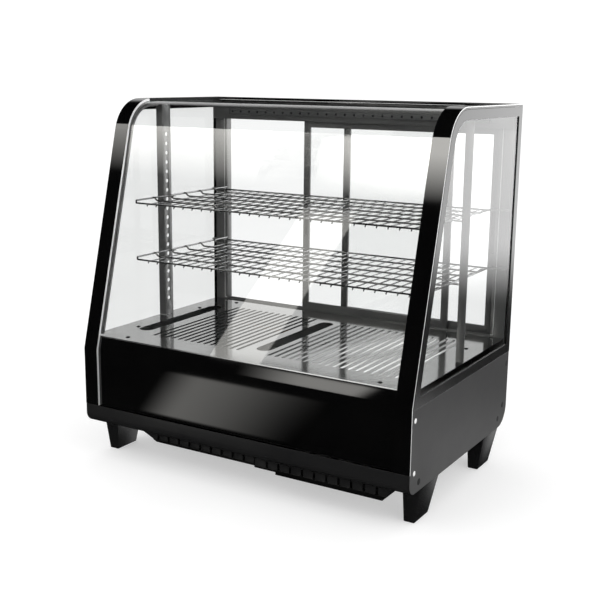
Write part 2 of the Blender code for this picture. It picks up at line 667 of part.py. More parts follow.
# ------------------------------------------------------------------ rear controls
def controls():
    low, high = CONTROL_Z
    face, back = CONTROL_FACE, REAR + GAP
    fascia = box("control_fascia", (CONTROL_X[0], back, low), (CONTROL_X[1], face, high),
                 black_plastic())
    hollow = box("fascia_hollow", (CONTROL_X[0] + 0.006, back - 0.01, low + 0.006),
                 (CONTROL_X[1] - 0.006, face - 0.002, high - 0.006), None, cutters)
    boolean(fascia, hollow)
    window = box("display_cutout", (DISPLAY_X[0], face - 0.005, CONTROL_MID - 0.010),
                 (DISPLAY_X[1], face + 0.005, CONTROL_MID + 0.010), None, cutters)
    boolean(fascia, window)
    bush = rod("knob_hole", (KNOB_X, face, CONTROL_MID), 0.0045, 0.02, FRONT_PLANE, None, 16,
               cutters)
    boolean(fascia, bush)
    for name, x in ROCKER_X.items():
        slot = box(f"{name}_cutout", (x - 0.0085, face - 0.005, CONTROL_MID - 0.0115),
                   (x + 0.0085, face + 0.005, CONTROL_MID + 0.0115), None, cutters)
        boolean(fascia, slot)
        rocker(name, x)
    box("temperature_display", (DISPLAY_X[0] + GAP, face - 0.004, CONTROL_MID - 0.010 + GAP),
        (DISPLAY_X[1] - GAP, face - 0.0003, CONTROL_MID + 0.010 - GAP),
        material("display_window", (0.02, 0.004, 0.004), 0.1))

    knob = rod("thermostat_knob", (KNOB_X, 0, CONTROL_MID), 0.0150, 0.0047, FRONT_PLANE,
               black_plastic(), 24)
    knob.location.y = DEEPEST - 0.0047 / 2
    shaft = rod("knob_shaft", (KNOB_X, DEEPEST - 0.010, CONTROL_MID), 0.0030, 0.016,
                FRONT_PLANE, None, 12, cutters)
    boolean(knob, shaft, "UNION")


def rocker(name, x):
    """A rocker that turns about X, resting on its lower half."""
    tilt = radians(6)
    pivot_y = CONTROL_FACE - 0.001
    shape = [(-0.0040, -0.0090), (0.0030, -0.0098), (0.0014, 0), (0.0030, 0.0098),
             (-0.0040, 0.0090)]
    key = outline(f"{name}_rocker", [shape], (-0.0078, 0.0078), SIDE_PLANE, black_plastic())
    key.location = (x, pivot_y, CONTROL_MID)
    upright = Euler(SIDE_PLANE).to_matrix()
    key.rotation_euler = (Matrix.Rotation(tilt, 3, "X") @ upright).to_euler()


base_sheets()
feet()
vent_guards()
glazing()
floor_plate()
rear_frame()
uprights()
for shelf_level in SHELF_GRID_Z:
    shelf(shelf_level)
door("inner", DOOR_INNER_X, DOOR_INNER_Y)
door("outer", DOOR_OUTER_X, DOOR_OUTER_Y)
air_duct()
fan()
heater()
electrics()
controls()
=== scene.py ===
"""Looks of the counter-top heated display case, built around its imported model.

Metres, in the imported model's frame: +X to the right seen from the front, +Y to the rear,
+Z up, origin under the middle of the case at the level of the feet.
"""
import json
from math import cos, hypot, pi, radians, sin, tan

import bmesh
import bpy
from mathutils import Matrix, Vector


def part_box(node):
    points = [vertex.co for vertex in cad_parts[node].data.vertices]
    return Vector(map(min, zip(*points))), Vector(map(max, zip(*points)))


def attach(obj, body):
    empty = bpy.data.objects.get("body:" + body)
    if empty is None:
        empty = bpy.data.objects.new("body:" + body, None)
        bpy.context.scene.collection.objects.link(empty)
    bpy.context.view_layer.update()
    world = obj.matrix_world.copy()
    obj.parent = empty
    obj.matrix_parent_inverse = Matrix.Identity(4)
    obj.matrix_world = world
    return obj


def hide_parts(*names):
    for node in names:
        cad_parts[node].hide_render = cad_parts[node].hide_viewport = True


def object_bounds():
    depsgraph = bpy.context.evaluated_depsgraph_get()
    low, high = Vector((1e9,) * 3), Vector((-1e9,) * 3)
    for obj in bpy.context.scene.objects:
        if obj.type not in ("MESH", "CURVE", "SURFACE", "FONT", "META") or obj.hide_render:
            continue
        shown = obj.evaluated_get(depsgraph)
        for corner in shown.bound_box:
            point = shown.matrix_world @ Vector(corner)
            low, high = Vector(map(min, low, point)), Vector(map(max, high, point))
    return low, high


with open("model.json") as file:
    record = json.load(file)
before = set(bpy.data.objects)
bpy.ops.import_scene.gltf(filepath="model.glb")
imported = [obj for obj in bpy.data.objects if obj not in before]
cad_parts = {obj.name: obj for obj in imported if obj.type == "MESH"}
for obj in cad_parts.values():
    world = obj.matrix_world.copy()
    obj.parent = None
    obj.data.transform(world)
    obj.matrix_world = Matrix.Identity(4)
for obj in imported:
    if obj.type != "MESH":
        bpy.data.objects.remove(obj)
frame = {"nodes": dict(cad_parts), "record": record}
node = frame["nodes"]
cad_low, cad_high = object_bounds()
body_of = {name: body for body, names in frame["record"]["behaviour"]["bodies"].items()
           for name in names}

# ------------------------------------------------------------------ sizes from the model
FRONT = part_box("trim_band_left")[0].y
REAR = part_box("side_panel_left")[1].y
HALF = cad_high.x
HEIGHT = cad_high.z
FLOOR_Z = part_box("display_floor")[1].z
BASE_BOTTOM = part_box("side_panel_left")[0].z
PANEL_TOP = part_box("side_panel_left")[1].z
RAIL_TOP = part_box("front_rail")[1].z
BAND_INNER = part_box("trim_band_right")[0].x
INNER_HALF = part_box("front_glass")[1].x
GLASS_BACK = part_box("front_glass")[1].y
KINK_Z = 0.213                  # height where the front bends into its slope
SLOPE = radians(14.45)          # lean of the front from upright
CROWN_R = 0.072                 # radius of the bands' face over the crown
BAND_DEPTH = 0.0047             # thickness of a band with its backing
BAND_FACE = 0.0018              # thickness of a band's black face
CROWN_END = -0.055              # Y behind which the bands are matt black but for their edge
GLASS_DEPTH = 0.005             # the front glass lies this far behind the bands' face
GLASS_T = 0.005                 # thickness of the front glass
BEAD_DEPTH = 0.0045             # depth of the lining bead inside the front glass
BEAD_END = -0.030               # Y where the lining bead stops
BEAD_GAP = 0.0006               # space between the glass and its bead
STEEL = 0.0015                  # sheet thickness
BORDER = 0.017                  # width of the dark border of the side glass
POST_Y = 0.197                  # front face of the rear posts
TOE_R = 0.020                   # corner radius at the bottom front
HEEL_R = 0.038                  # corner radius at the bottom rear
GUARD_LIP = 0.052               # top of the lip along the bottom of the vent guards
SMOOTH_STEPS = 40               # steps round the crown
SIDES = (("left", -1), ("right", 1))
BOX_FACES = ((0, 1, 3, 2), (4, 6, 7, 5), (0, 4, 5, 1), (2, 3, 7, 6), (0, 2, 6, 4),
             (1, 5, 7, 3))


# ------------------------------------------------------------------ material tools
class Paint:
    """A node material under construction, with short calls for the usual nodes."""

    def __init__(self, name):
        self.material = bpy.data.materials.new(name)
        self.material.use_nodes = True
        self.tree = self.material.node_tree
        self.tree.nodes.clear()
        self.output = self.tree.nodes.new("ShaderNodeOutputMaterial")
        self.coords = self.tree.nodes.new("ShaderNodeTexCoord").outputs["Object"]

    def link(self, source, target):
        self.tree.links.new(source, target)

    def noise(self, scale, detail=2.0, stretch=(1, 1, 1)):
        mapping = self.tree.nodes.new("ShaderNodeMapping")
        mapping.inputs["Scale"].default_value = stretch
        self.link(self.coords, mapping.inputs["Vector"])
        texture = self.tree.nodes.new("ShaderNodeTexNoise")
        texture.inputs["Scale"].default_value = scale
        texture.inputs["Detail"].default_value = detail
        self.link(mapping.outputs["Vector"], texture.inputs["Vector"])
        return texture.outputs["Fac"]

    def spread(self, source, low, high):
        """The noise's middle range mapped to the span from low to high."""
        node_ = self.tree.nodes.new("ShaderNodeMapRange")
        node_.inputs["From Min"].default_value = 0.3
        node_.inputs["From Max"].default_value = 0.7
        node_.inputs["To Min"].default_value = low
        node_.inputs["To Max"].default_value = high
        self.link(source, node_.inputs["Value"])
        return node_.outputs["Result"]

    def blend(self, source, first, second):
        """A colour that runs from first to second as source goes from 0.3 to 0.7."""
        ramp = self.tree.nodes.new("ShaderNodeValToRGB")
        ramp.color_ramp.elements[0].position = 0.3
        ramp.color_ramp.elements[1].position = 0.7
        ramp.color_ramp.elements[0].color = (*first, 1)
        ramp.color_ramp.elements[1].color = (*second, 1)
        self.link(source, ramp.inputs["Fac"])
        return ramp.outputs["Color"]

    def bump(self, source, strength, distance):
        node_ = self.tree.nodes.new("ShaderNodeBump")
        node_.inputs["Strength"].default_value = strength
        node_.inputs["Distance"].default_value = distance
        self.link(source, node_.inputs["Height"])
        return node_.outputs["Normal"]

    def principled(self, **inputs):
        shader = self.tree.nodes.new("ShaderNodeBsdfPrincipled")
        for key, value in inputs.items():
            socket = shader.inputs[key.replace("_", " ")]
            if isinstance(value, bpy.types.NodeSocket):
                self.link(value, socket)
            else:
                socket.default_value = value
        self.link(shader.outputs["BSDF"], self.output.inputs["Surface"])
        return self.material


def coated(name, dark, light, rough, grain, bump, metallic=0.0, ior=1.5):
    """A painted or moulded finish: slight colour drift, uneven gloss and a fine grain."""
    paint = Paint(name)
    drift = paint.noise(14, 3)
    wear = paint.noise(30, 2)
    fine = paint.noise(grain, 2)
    return paint.principled(
        Base_Color=paint.blend(drift, dark, light), Metallic=metallic, IOR=ior,
        Roughness=paint.spread(wear, rough * 0.95, rough * 1.05),
        Normal=paint.bump(fine, bump, 0.0002))


def brushed(name, dark, light, rough, stretch, bump=0.05, anisotropic=0.0, metallic=1.0):
    """Metal with fine brush lines along the axis that stretch leaves short."""
    paint = Paint(name)
    lines = paint.noise(900, 3, stretch)
    cloud = paint.noise(9, 3)
    return paint.principled(
        Base_Color=paint.blend(cloud, dark, light), Metallic=metallic,
        Roughness=paint.spread(lines, rough * 0.75, rough * 1.3), Anisotropic=anisotropic,
        Normal=paint.bump(lines, bump, 0.0001))


def glazed(name, tint, ior):
    """Thin clear glass. Its first face reflects for both, as no ray bends inside it."""
    paint = Paint(name)
    tree = paint.tree
    clear = tree.nodes.new("ShaderNodeBsdfTransparent")
    clear.inputs["Color"].default_value = (*tint, 1)
    shine = tree.nodes.new("ShaderNodeBsdfGlossy")
    shine.inputs["Color"].default_value = (1, 1, 1, 1)
    paint.link(paint.spread(paint.noise(7, 4), 0.0, 0.012), shine.inputs["Roughness"])
    fresnel = tree.nodes.new("ShaderNodeFresnel")
    fresnel.inputs["IOR"].default_value = ior
    facing = tree.nodes.new("ShaderNodeNewGeometry")
    outer = tree.nodes.new("ShaderNodeMath")
    outer.operation = "SUBTRACT"
    outer.inputs[0].default_value = 1
    paint.link(facing.outputs["Backfacing"], outer.inputs[1])
    factor = tree.nodes.new("ShaderNodeMath")
    factor.operation = "MULTIPLY"
    paint.link(fresnel.outputs["Fac"], factor.inputs[0])
    paint.link(outer.outputs["Value"], factor.inputs[1])
    mix = tree.nodes.new("ShaderNodeMixShader")
    paint.link(factor.outputs["Value"], mix.inputs["Fac"])
    paint.link(clear.outputs["BSDF"], mix.inputs[1])
    paint.link(shine.outputs["BSDF"], mix.inputs[2])
    paint.link(mix.outputs["Shader"], paint.output.inputs["Surface"])
    return paint.material


def steel_painted_highlight(name, slope, start, end):
    """Polished steel with a painted highlight, dark below start and bright above end, measured
    along X + slope Y.
    """
    paint = Paint(name)
    place = paint.tree.nodes.new("ShaderNodeSeparateXYZ")
    paint.link(paint.coords, place.inputs["Vector"])
    along = paint.tree.nodes.new("ShaderNodeMath")
    along.operation = "MULTIPLY_ADD"
    along.inputs[1].default_value = slope
    paint.link(place.outputs["Y"], along.inputs[0])
    paint.link(place.outputs["X"], along.inputs[2])
    share = paint.tree.nodes.new("ShaderNodeMapRange")
    share.inputs["From Min"].default_value = start
    share.inputs["From Max"].default_value = end
    paint.link(along.outputs["Value"], share.inputs["Value"])
    lines = paint.noise(700, 3, (1, 0.03, 1))
    colour = paint.tree.nodes.new("ShaderNodeMix")
    colour.data_type = "RGBA"
    # painted highlight: near black at the low end of the measure, near white at the high end
    colour.inputs["A"].default_value = (0.03, 0.03, 0.03, 1)
    colour.inputs["B"].default_value = (0.95, 0.95, 0.94, 1)
    paint.link(share.outputs["Result"], colour.inputs["Factor"])
    return paint.principled(Base_Color=colour.outputs["Result"], Metallic=0.4,
                            Roughness=paint.spread(lines, 0.14, 0.26),
                            Normal=paint.bump(lines, 0.03, 0.0001))


def glowing(name, colour, strength, off_colour):
    paint = Paint(name)
    cloud = paint.noise(40, 2)
    return paint.principled(
        Base_Color=paint.blend(cloud, off_colour, tuple(c * 0.92 for c in off_colour)),
        Roughness=0.35, Emission_Color=(*colour, 1), Emission_Strength=strength)


black_gloss = coated("black_gloss", (0.0012, 0.0012, 0.0013), (0.002, 0.002, 0.002), 0.04,
                     700, 0.01, ior=1.8)
satin_black = coated("satin_black", (0.009, 0.009, 0.0095), (0.012, 0.012, 0.012), 0.30,
                     900, 0.004)
satin_frame = coated("satin_frame", (0.155, 0.155, 0.155), (0.175, 0.175, 0.172), 0.33,
                     2600, 0.02, metallic=0.55)
border_grey = coated("border_grey", (0.012, 0.012, 0.012), (0.017, 0.017, 0.017), 0.12,
                     2400, 0.01, ior=1.48)
moulded = coated("black_plastic", (0.007, 0.007, 0.0075), (0.011, 0.011, 0.011), 0.38,
                 1800, 0.06)
foot_plastic = coated("foot_plastic", (0.006, 0.006, 0.0065), (0.009, 0.009, 0.009), 0.24,
                      1600, 0.04, ior=1.7)
deep_black = coated("deep_black", (0.0015, 0.0015, 0.0015), (0.003, 0.003, 0.003), 0.5, 1500,
                    0.03, ior=1.3)
grey_plastic = coated("grey_plastic", (0.42, 0.43, 0.44), (0.5, 0.5, 0.51), 0.5, 1500, 0.1)
white_plastic = coated("white_plastic", (0.74, 0.74, 0.72), (0.8, 0.8, 0.78), 0.45,
                       1500, 0.08)
alloy = brushed("bright_alloy", (0.84, 0.84, 0.84), (0.92, 0.92, 0.91), 0.38, (1, 1, 0.02),
                metallic=0.35)
stainless = brushed("stainless_floor", (0.50, 0.50, 0.495), (0.57, 0.57, 0.565), 0.10,
                    (0.012, 1, 1), 0.03, 0.25)
sheathed = brushed("element_sheath", (0.42, 0.38, 0.34), (0.52, 0.50, 0.47), 0.3,
                   (1, 1, 1), 0.1)
chrome = brushed("chrome", (0.34, 0.34, 0.345), (0.44, 0.44, 0.44), 0.16, (1, 1, 1), 0.02)
plated = brushed("zinc_plate", (0.46, 0.47, 0.48), (0.58, 0.58, 0.58), 0.32, (1, 1, 1), 0.12)
copper = brushed("copper", (0.70, 0.36, 0.20), (0.78, 0.44, 0.27), 0.28, (1, 1, 0.1), 0.06)
# painted highlight: the louvre strips run bright at the right front and dark at the rear left
louvre_painted_highlight = steel_painted_highlight("louvre_painted_highlight", -0.25, 0.07, 0.17)
# painted reflection: the glass foot runs dark on the left and bright on the right
foot_painted_reflection = steel_painted_highlight("foot_painted_reflection", 0.0, -0.16, 0.12)
screw_steel = brushed("screw_steel", (0.60, 0.60, 0.60), (0.78, 0.78, 0.77), 0.2,
                      (1, 1, 1), 0.08)
# painted glint: bright metal heads made near white so that the whole head reads as a glint
head_painted_glint = brushed("head_painted_glint", (0.86, 0.86, 0.86), (0.94, 0.94, 0.93), 0.4, (1, 1, 1),
                      0.05, metallic=0.3)
front_clear = glazed("front_clear_glass", (0.985, 0.99, 0.988), 2.2)
side_clear = glazed("side_clear_glass", (0.985, 0.99, 0.988), 1.68)
# painted shade: the left pane is tinted darker than the right pane of the same glass
left_painted_shade = glazed("left_painted_shade_glass", (0.93, 0.931, 0.93), 1.2)
door_clear = glazed("door_clear_glass", (0.985, 0.987, 0.986), 1.5)
glass_edge = coated("glass_edge", (0.42, 0.50, 0.48), (0.55, 0.62, 0.60), 0.25, 900, 0.1)
lamp_cover = coated("lamp_cover", (0.060, 0.060, 0.060), (0.075, 0.075, 0.074), 0.35, 1500,
                    0.03)
lamp_lens = coated("lamp_lens", (0.010, 0.010, 0.012), (0.02, 0.02, 0.022), 0.12, 900, 0.02)
readout = glowing("readout_red", (1.0, 0.08, 0.04), 2.5, (0.3, 0.02, 0.02))
window_dark = coated("display_window", (0.012, 0.004, 0.004), (0.016, 0.006, 0.006), 0.08,
                     700, 0.02)
mark_white = coated("mark_white", (0.72, 0.72, 0.72), (0.8, 0.8, 0.8), 0.5, 1500, 0.05)


# ------------------------------------------------------------------ building tools
def finish_mesh(obj, bevel=0.0, sharp=32, segments=2):
    """Smooth shading with crisp edges, and a small softened edge where asked."""
    mesh = obj.data
    mesh.shade_smooth()
    mesh.set_sharp_from_angle(angle=radians(sharp))
    if bevel:
        soft = obj.modifiers.new("soft_edges", "BEVEL")
        soft.width = bevel
        soft.segments = segments
        soft.limit_method = "ANGLE"
        soft.angle_limit = radians(sharp + 3)
        soft.use_clamp_overlap = True
        soft.harden_normals = True
        mesh.set_sharp_from_angle(angle=radians(180))
    return obj


def piece(name, mesh, materials, body="cabinet", stands_for=()):
    """A finished object in the scene that rides on a body of the model."""
    obj = bpy.data.objects.new(name, mesh)
    bpy.context.scene.collection.objects.link(obj)
    if not mesh.materials:
        for mat in materials:
            mesh.materials.append(mat)
    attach(obj, body)
    if stands_for:
        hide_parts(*stands_for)
    return obj


def mesh_of(name, verts, faces, slots=None):
    mesh = bpy.data.meshes.new(name)
    mesh.from_pydata([tuple(v) for v in verts], [], faces)
    if slots:
        mesh.polygons.foreach_set("material_index", slots)
    bm = bmesh.new()
    bm.from_mesh(mesh)
    bmesh.ops.recalc_face_normals(bm, faces=bm.faces)
    bm.to_mesh(mesh)
    bm.free()
    return mesh


def ring_solid(name, outer, inner, x0, x1, closed=False):
    """A solid between two (Y, Z) lines of equally many points, thick along X.

    Faces on the X ends have material index 1, all others 0.
    """
    count = len(outer)
    verts = []
    for x in (x0, x1):
        verts += [(x, y, z) for y, z in outer] + [(x, y, z) for y, z in inner]
    faces, slots = [], []
    for i in range(count if closed else count - 1):
        j = (i + 1) % count
        faces += [(i, j, j + 2 * count, i + 2 * count),
                  (i + count, i + 3 * count, j + 3 * count, j + count),
                  (i, i + count, j + count, j),
                  (i + 2 * count, j + 2 * count, j + 3 * count, i + 3 * count)]
        slots += [0, 0, 1, 1]
    if not closed:
        for i in (0, count - 1):
            faces.append((i, i + 2 * count, i + 3 * count, i + count))
            slots.append(0)
    return mesh_of(name, verts, faces, slots)


def slab(name, outline, x0, x1):
    """A closed (Y, Z) outline, thick along X; X ends have material index 1."""
    count = len(outline)
    verts = [(x, y, z) for x in (x0, x1) for y, z in outline]
    faces = [tuple(range(count)), tuple(range(2 * count - 1, count - 1, -1))]
    slots = [1, 1]
    for i in range(count):
        j = (i + 1) % count
        faces.append((i, j, j + count, i + count))
        slots.append(0)
    return mesh_of(name, verts, faces, slots)


def lathe_faces(rings, segments):
    """Faces between rings of points, with a cap on the first and the last ring."""
    faces = []
    for i in range(rings - 1):
        for k in range(segments):
            a, b = i * segments + k, i * segments + (k + 1) % segments
            faces.append((a, b, b + segments, a + segments))
    last = (rings - 1) * segments
    return faces + [tuple(range(segments))[::-1], tuple(range(last, last + segments))]


def turned(name, profile, centre, axis, segments=32):
    """A lathe shape: profile is (radius, height) pairs, height along axis from centre."""
    turn = Vector((0, 0, 1)).rotation_difference(Vector(axis)).to_matrix()
    centre = Vector(centre)
    verts = []
    for radius, height in profile:
        for k in range(segments):
            angle = 2 * pi * k / segments
            verts.append(centre + turn @ Vector((radius * cos(angle), radius * sin(angle),
                                                 height)))
    return mesh_of(name, verts, lathe_faces(len(profile), segments))


def joined(name, meshes):
    """One mesh out of several."""
    bm = bmesh.new()
    for mesh in meshes:
        bm.from_mesh(mesh)
    result = bpy.data.meshes.new(name)
    bm.to_mesh(result)
    bm.free()
    return result


def block(name, low, high):
    """A box mesh between two corners, to be softened, cut or joined to others."""
    (x0, y0, z0), (x1, y1, z1) = low, high
    verts = [(x, y, z) for x in (x0, x1) for y in (y0, y1) for z in (z0, z1)]
    return mesh_of(name, verts, BOX_FACES)


def refine(name, material, bevel, segments=2, sharp=32):
    """The model's own shape, welded and with softened edges, standing for its node."""
    bm = bmesh.new()
    bm.from_mesh(node[name].data)
    bmesh.ops.remove_doubles(bm, verts=bm.verts, dist=0.00001)
    bmesh.ops.dissolve_limit(bm, angle_limit=radians(0.5), verts=bm.verts, edges=bm.edges)
    mesh = bpy.data.meshes.new(name + "_finished")
    bm.to_mesh(mesh)
    bm.free()
    mesh.materials.append(material)
    mesh.polygons.foreach_set("material_index", [0] * len(mesh.polygons))
    obj = piece(name + "_finished", mesh, [], body_of[name], [name])
    return finish_mesh(obj, bevel, sharp, segments)


def repaint(material, *names):
    """The model's own mesh, kept, in a detailed material."""
    for name in names:
        for place in node[name].material_slots:
            place.material = material


def wires(name, paths, radius, material, body, stands_for=(), cyclic=False):
    """Round wires along lists of points, all in one curve object."""
    curve = bpy.data.curves.new(name, "CURVE")
    curve.dimensions = "3D"
    curve.bevel_depth = radius
    curve.bevel_resolution = 2
    curve.use_fill_caps = True
    for path in paths:
        spline = curve.splines.new("POLY")
        spline.points.add(len(path) - 1)
        for point, place in zip(spline.points, path):
            point.co = (*place, 1)
        spline.use_cyclic_u = cyclic
    curve.materials.append(material)
    obj = bpy.data.objects.new(name, curve)
    bpy.context.scene.collection.objects.link(obj)
    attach(obj, body)
    if stands_for:
        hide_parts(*stands_for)
    return obj


def screw(name, centre, axis, radius, height, material):
    """A low pan head."""
    profile = [(radius, 0), (radius, height * 0.3), (radius * 0.9, height * 0.62),
               (radius * 0.62, height * 0.9), (radius * 0.3, height)]
    mesh = turned(name, profile, centre, axis, 20)
    finish_mesh(piece(name, mesh, [material, material]), sharp=50)


# ------------------------------------------------------------------ the side profile
def arc(centre, radius, start, end, steps):
    turns = [start + (end - start) * i / steps for i in range(steps + 1)]
    return [(centre[0] + radius * cos(t), centre[1] + radius * sin(t)) for t in turns]


def slope_y(depth, z):
    """Y of the sloped front at height z, a distance depth behind the bands' face."""
    return FRONT + (depth + (z - KINK_Z) * sin(SLOPE)) / cos(SLOPE)


def held(start, end):
    """Points close to both ends of a straight stretch, so that its shading stays flat."""
    (y0, z0), (y1, z1) = start, end
    share = 0.003 / hypot(y1 - y0, z1 - z0)
    return [(y0 + (y1 - y0) * t, z0 + (z1 - z0) * t) for t in (share, 1 - share)]


def front_path(depth, z_low, y_end, steps=SMOOTH_STEPS):
    """(Y, Z) points up the front, round the crown and back along the top."""
    path = []
    kink_z = KINK_Z - depth * tan(SLOPE / 2)
    if z_low < kink_z:
        bend = 0.003
        path += [(FRONT + depth, z_low), (FRONT + depth, kink_z - bend)]
        top = (slope_y(depth, kink_z + bend * cos(SLOPE)), kink_z + bend * cos(SLOPE))
        kink = (FRONT + depth, kink_z)
        for i in range(1, 6):
            t = i / 6
            path.append(tuple((1 - t) ** 2 * a + 2 * t * (1 - t) * b + t * t * c
                              for a, b, c in zip(path[1], kink, top)))
        path.append(top)
    else:
        path += [(slope_y(depth, z_low), z_low)]
    rise = (HEIGHT - CROWN_R - KINK_Z + CROWN_R * sin(SLOPE)) / cos(SLOPE)
    centre = (FRONT + rise * sin(SLOPE) + CROWN_R * cos(SLOPE), HEIGHT - CROWN_R)
    crown = arc(centre, CROWN_R - depth, pi - SLOPE, pi / 2, steps)
    path += held(path[-1], crown[0]) + crown
    return path + held(path[-1], (y_end, HEIGHT - depth)) + [(y_end, HEIGHT - depth)]


def matched(path, count):
    """The path with points added along its first stretch until it has count of them."""
    extra = count - len(path)
    (y0, z0), (y1, z1) = path[0], path[1]
    added = [(y0 + (y1 - y0) * i / (extra + 1), z0 + (z1 - z0) * i / (extra + 1))
             for i in range(1, extra + 1)]
    return [path[0]] + added + path[1:]


def both_sides(low, high):
    return (("left", -high, -low), ("right", low, high))


# ------------------------------------------------------------------ bands and glass
def bands():
    """Black glass bands with a bright edge, on a backing that shows grey from outside."""
    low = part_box("trim_band_left")[0].z
    layers = (("band", 0, BAND_FACE), ("band_backing", BAND_FACE, BAND_DEPTH))
    for layer, near, far in layers:
        outer, inner = front_path(near, low, REAR), front_path(far, low, REAR)
        for side, x0, x1 in both_sides(BAND_INNER, HALF):
            mesh = ring_solid(f"{layer}_{side}", outer, inner, x0, x1)
            for face in mesh.polygons:
                at_edge = abs(face.center.x) > HALF - 0.0001
                if face.center.y > CROWN_END and not at_edge:
                    face.material_index = 3
                elif layer == "band_backing" and at_edge:
                    face.material_index = 2
            obj = piece(f"{layer}_{side}", mesh,
                        [black_gloss, alloy, border_grey, deep_black], "cabinet",
                        [f"trim_band_{side}"])
            finish_mesh(obj, 0.0003)

    bead_low = FLOOR_Z + 0.004
    near = GLASS_DEPTH + GLASS_T + BEAD_GAP
    bead_outer = front_path(near, bead_low, BEAD_END)
    bead_inner = front_path(near + BEAD_DEPTH, bead_low, BEAD_END)
    for side, x0, x1 in both_sides(BAND_INNER - 0.001, INNER_HALF - 0.0003):
        mesh = ring_solid(f"glass_bead_{side}", bead_outer, bead_inner, x0, x1)
        obj = piece(f"glass_bead_{side}", mesh, [satin_frame, satin_frame])
        finish_mesh(obj, 0.0004)


def glazing():
    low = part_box("front_glass")[0].z
    outer = front_path(GLASS_DEPTH, low, GLASS_BACK)
    inner = front_path(GLASS_DEPTH + GLASS_T, low, GLASS_BACK)
    mesh = ring_solid("front_pane", outer, inner, -INNER_HALF, INNER_HALF)
    finish_mesh(piece("front_pane", mesh, [front_clear, glass_edge], "cabinet",
                      ["front_glass"]))

    inset = 0.001
    for side, clear in (("left", left_painted_shade), ("right", side_clear)):
        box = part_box(f"side_glass_{side}")
        pane = front_path(GLASS_DEPTH + inset, box[0].z + inset, REAR - inset)
        pane.append((REAR - inset, box[0].z + inset))
        mesh = slab(f"side_pane_{side}", pane, box[0].x, box[1].x)
        finish_mesh(piece(f"side_pane_{side}", mesh, [glass_edge, clear], "cabinet",
                          [f"side_glass_{side}"]))

        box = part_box(f"side_frame_{side}")
        low = box[0].z
        outer = front_path(GLASS_DEPTH, low, REAR) + [(REAR, low)]
        inner = front_path(GLASS_DEPTH + BORDER, low + BORDER, REAR - BORDER)
        inner = matched(inner, len(outer) - 1) + [(REAR - BORDER, low + BORDER)]
        mesh = ring_solid(f"side_border_{side}", outer, inner, box[0].x, box[1].x, True)
        obj = piece(f"side_border_{side}", mesh, [border_grey, border_grey], "cabinet",
                    [f"side_frame_{side}"])
        finish_mesh(obj, 0.0003)


def glass_foot():
    """The lower edge of the front glass, with a painted reflection: dark on the left, bright on
    the right.
    """
    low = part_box("front_glass")[0].z
    tall, near, far = 0.0014, 0.0007, 0.0001
    outer, inner = ([(slope_y(GLASS_DEPTH - proud, z), z) for z in (low, low + tall)]
                    for proud in (near, far))
    mesh = ring_solid("glass_foot", outer, inner, -BAND_INNER, BAND_INNER - 0.0005)
    finish_mesh(piece("glass_foot", mesh, [foot_painted_reflection, foot_painted_reflection]), 0.0002)


# ------------------------------------------------------------------ floor and lamp
def floor_louvres():
    """Deflector strips, one leaning into each slot of the grille over the heater, with a painted
    highlight: bright towards the right front, dark towards the rear left.
    """
    first, pitch, count, width = 0.025, 0.0147, 18, 0.0066
    near, far, deep = -0.150, 0.133, 0.0052
    sunk, lean_in, thick = 0.0003, 0.0026, 0.0004
    meshes = []
    for i in range(count):
        x = first + pitch * i - width / 2 + sunk
        verts = [(x + dx + lean, y, z) for y in (near, far)
                 for z, lean in ((FLOOR_Z - sunk, 0), (FLOOR_Z - deep, lean_in))
                 for dx in (0, thick)]
        meshes.append(mesh_of(f"louvre_{i}", verts, BOX_FACES))
    obj = piece("floor_louvres", joined("floor_louvres", meshes), [louvre_painted_highlight])
    finish_mesh(obj, 0.0001)


def post_edge_highlights():
    """A thin bright strip down the front of each rear post, turned in at its ends: a painted
    highlight on the post's bent front edge.
    """
    radius, x, turned_in = 0.0006, 0.3125, 0.005
    low, high, y = 0.240, 0.638, POST_Y - radius / 2
    for side, sign in SIDES:
        path = [(sign * (x - turned_in), y, low), (sign * x, y, low), (sign * x, y, high),
                (sign * (x - turned_in), y, high)]
        # painted highlight: a bright alloy strip where the post's front edge catches light
        wires(f"post_edge_highlight_{side}", [path], radius, alloy, "cabinet")


def lamp_lenses():
    """A row of small domed lenses along the lamp strip under the rear beam."""
    low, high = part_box("led_strip")
    count = 28
    middle = (low.z + high.z) / 2
    profile = [(0.0024, 0), (0.0024, 0.0003), (0.0019, 0.0010), (0.0010, 0.0014)]
    meshes = [turned(f"lens_{i}", profile,
                     (low.x + (high.x - low.x) * (i + 0.5) / count, low.y, middle),
                     (0, -1, 0), 12)
              for i in range(count)]
    finish_mesh(piece("lamp_lenses", joined("lamp_lenses", meshes), [lamp_lens]),
                        sharp=60)


# ------------------------------------------------------------------ base
def rounded_corner(radius, centre_y, start, end, offset=0.0):
    """(Y, Z) points round a lower corner of the base, or an offset inside it."""
    return arc((centre_y, BASE_BOTTOM + radius), radius - offset, start, end, 16)


